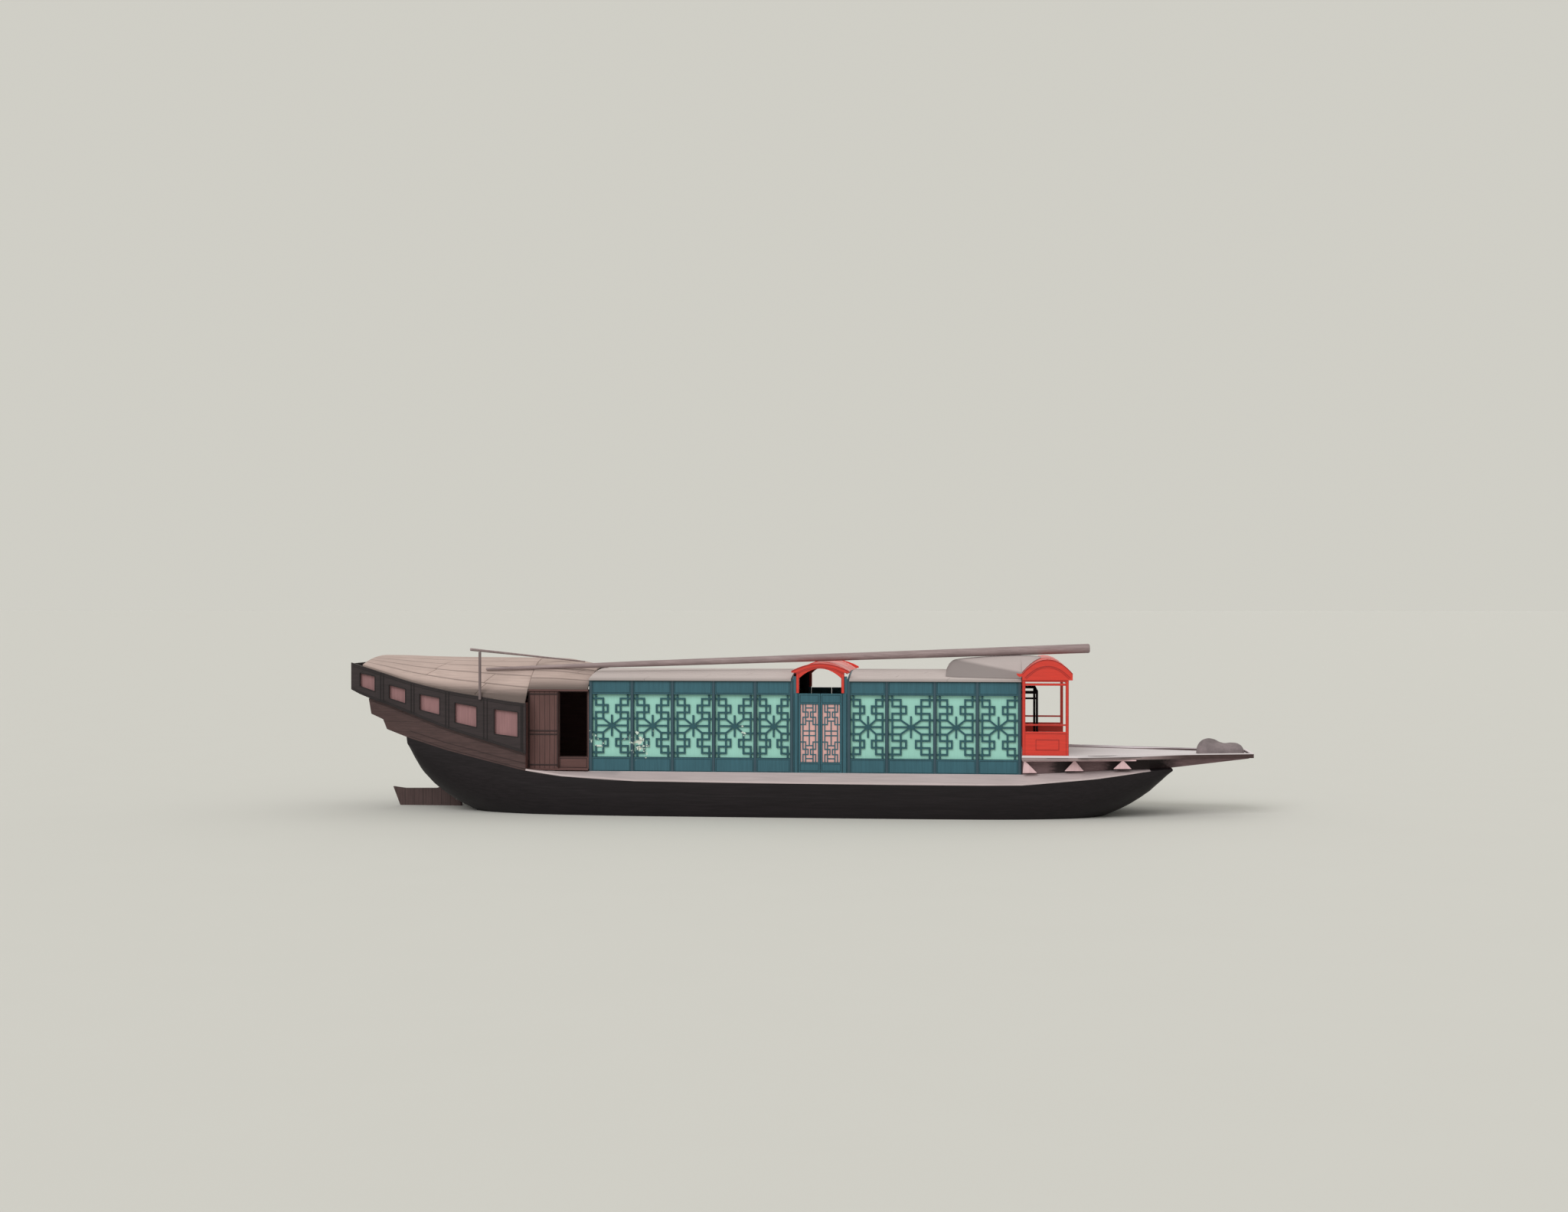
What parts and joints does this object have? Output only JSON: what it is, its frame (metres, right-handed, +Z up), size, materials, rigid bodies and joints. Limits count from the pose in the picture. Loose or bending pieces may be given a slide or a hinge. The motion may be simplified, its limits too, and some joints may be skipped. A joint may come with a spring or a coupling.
{
  "type": "river junk houseboat",
  "caption": "Wooden river junk with a long lattice-panelled cabin, an arched gate amidships, a bow portico and a raised stern gallery; its mast lies along the roof.",
  "frame": {"origin": "on the waterline, on the centreline, amidships", "axes": "+X to the bow, +Y to port, +Z up"},
  "size_m": [19.53, 4.0625, 4.6609],
  "materials": {
    "hull": "dark tarred planking",
    "brown": "brown stained planking, matte",
    "dark": "nearly black stained wood",
    "rose": "dull rose painted boards",
    "roof": "weathered bare boards",
    "grey": "grey matting, rough",
    "teal": "dark teal paint, slightly worn",
    "mint": "pale green paint, matte",
    "pink": "pale pink paint",
    "red": "red lacquer",
    "pale": "pale scrubbed planking",
    "spar": "bare round pole",
    "rudder": "wet brown boards",
    "stone": "dry grey stone",
    "black": "black paint"
  },
  "bodies": {
    "boat": {"aft_door_frame_port": "brown", "aft_door_frame_starboard": "brown", "aft_roof": "roof", "anchor_stones": "stone", "boom": "spar", "boom_post": "spar", "cabin_roof_aft": "roof", "cabin_roof_fore": "roof", "cabin_sole": "roof", "deck_knees_port": "pale", "deck_knees_starboard": "pale", "fore_coaming": "brown", "fore_hood": "grey", "foredeck": "pale", "foredeck_edge_port": "pale", "foredeck_edge_starboard": "pale", "foredeck_end_board": "pale", "front_bulkhead": "teal", "front_doorway": "black", "gallery_panes_port": "rose", "gallery_panes_starboard": "rose", "gallery_wall_port": "dark", "gallery_wall_starboard": "dark", "gate_arch_port": "red", "gate_arch_starboard": "red", "gate_frame_port": "teal", "gate_frame_starboard": "teal", "gate_partition_aft": "black", "gate_vault": "red", "hull": "hull", "mast": "spar", "panes_aft_port": "mint", "panes_aft_starboard": "mint", "panes_fore_port": "mint", "panes_fore_starboard": "mint", "portico_front_rail": "red", "portico_roof": "red", "portico_screen_port": "red", "portico_screen_starboard": "red", "quarter_band_port": "brown", "quarter_band_starboard": "brown", "rudder_head_block": "brown", "side_deck_port": "pale", "side_deck_starboard": "pale", "stern_counter": "brown", "transom": "dark", "wall_aft_port": "teal", "wall_aft_starboard": "teal", "wall_fore_port": "teal", "wall_fore_starboard": "teal"},
    "rudder": {"rudder_blade": "rudder", "rudder_stock": "rudder", "tiller": "spar"},
    "sliding_door_starboard": {"aft_door_starboard": "brown"},
    "gate_door_aft_starboard": {"gate_leaf_aft_starboard": "pink"},
    "gate_door_fore_starboard": {"gate_leaf_fore_starboard": "pink"},
    "sliding_door_port": {"aft_door_port": "brown"},
    "gate_door_aft_port": {"gate_leaf_aft_port": "pink"},
    "gate_door_fore_port": {"gate_leaf_fore_port": "pink"}
  },
  "joints": [
    {"name": "rudder_hinge", "type": "hinge", "parent": "boat", "child": "rudder", "pos_m": [-6.955, 0, 1.5603], "axis": [0, 0, 1], "range_deg": [-35, 35]},
    {"name": "sliding_door_slide_starboard", "type": "slide", "parent": "boat", "child": "sliding_door_starboard", "axis": [1, 0, 0], "range_m": [0, 0.665]},
    {"name": "gate_door_hinge_aft_starboard", "type": "hinge", "parent": "boat", "child": "gate_door_aft_starboard", "pos_m": [0.8963, -1.56, 0.9453], "axis": [0, 0, 1], "range_deg": [0, 90]},
    {"name": "gate_door_hinge_fore_starboard", "type": "hinge", "parent": "boat", "child": "gate_door_fore_starboard", "pos_m": [1.8237, -1.56, 0.9453], "axis": [0, 0, -1], "range_deg": [0, 90]},
    {"name": "sliding_door_slide_port", "type": "slide", "parent": "boat", "child": "sliding_door_port", "axis": [1, 0, 0], "range_m": [0, 0.665]},
    {"name": "gate_door_hinge_aft_port", "type": "hinge", "parent": "boat", "child": "gate_door_aft_port", "pos_m": [0.8963, 1.56, 0.9453], "axis": [0, 0, -1], "range_deg": [0, 90]},
    {"name": "gate_door_hinge_fore_port", "type": "hinge", "parent": "boat", "child": "gate_door_fore_port", "pos_m": [1.8237, 1.56, 0.9453], "axis": [0, 0, 1], "range_deg": [0, 90]}
  ]
}
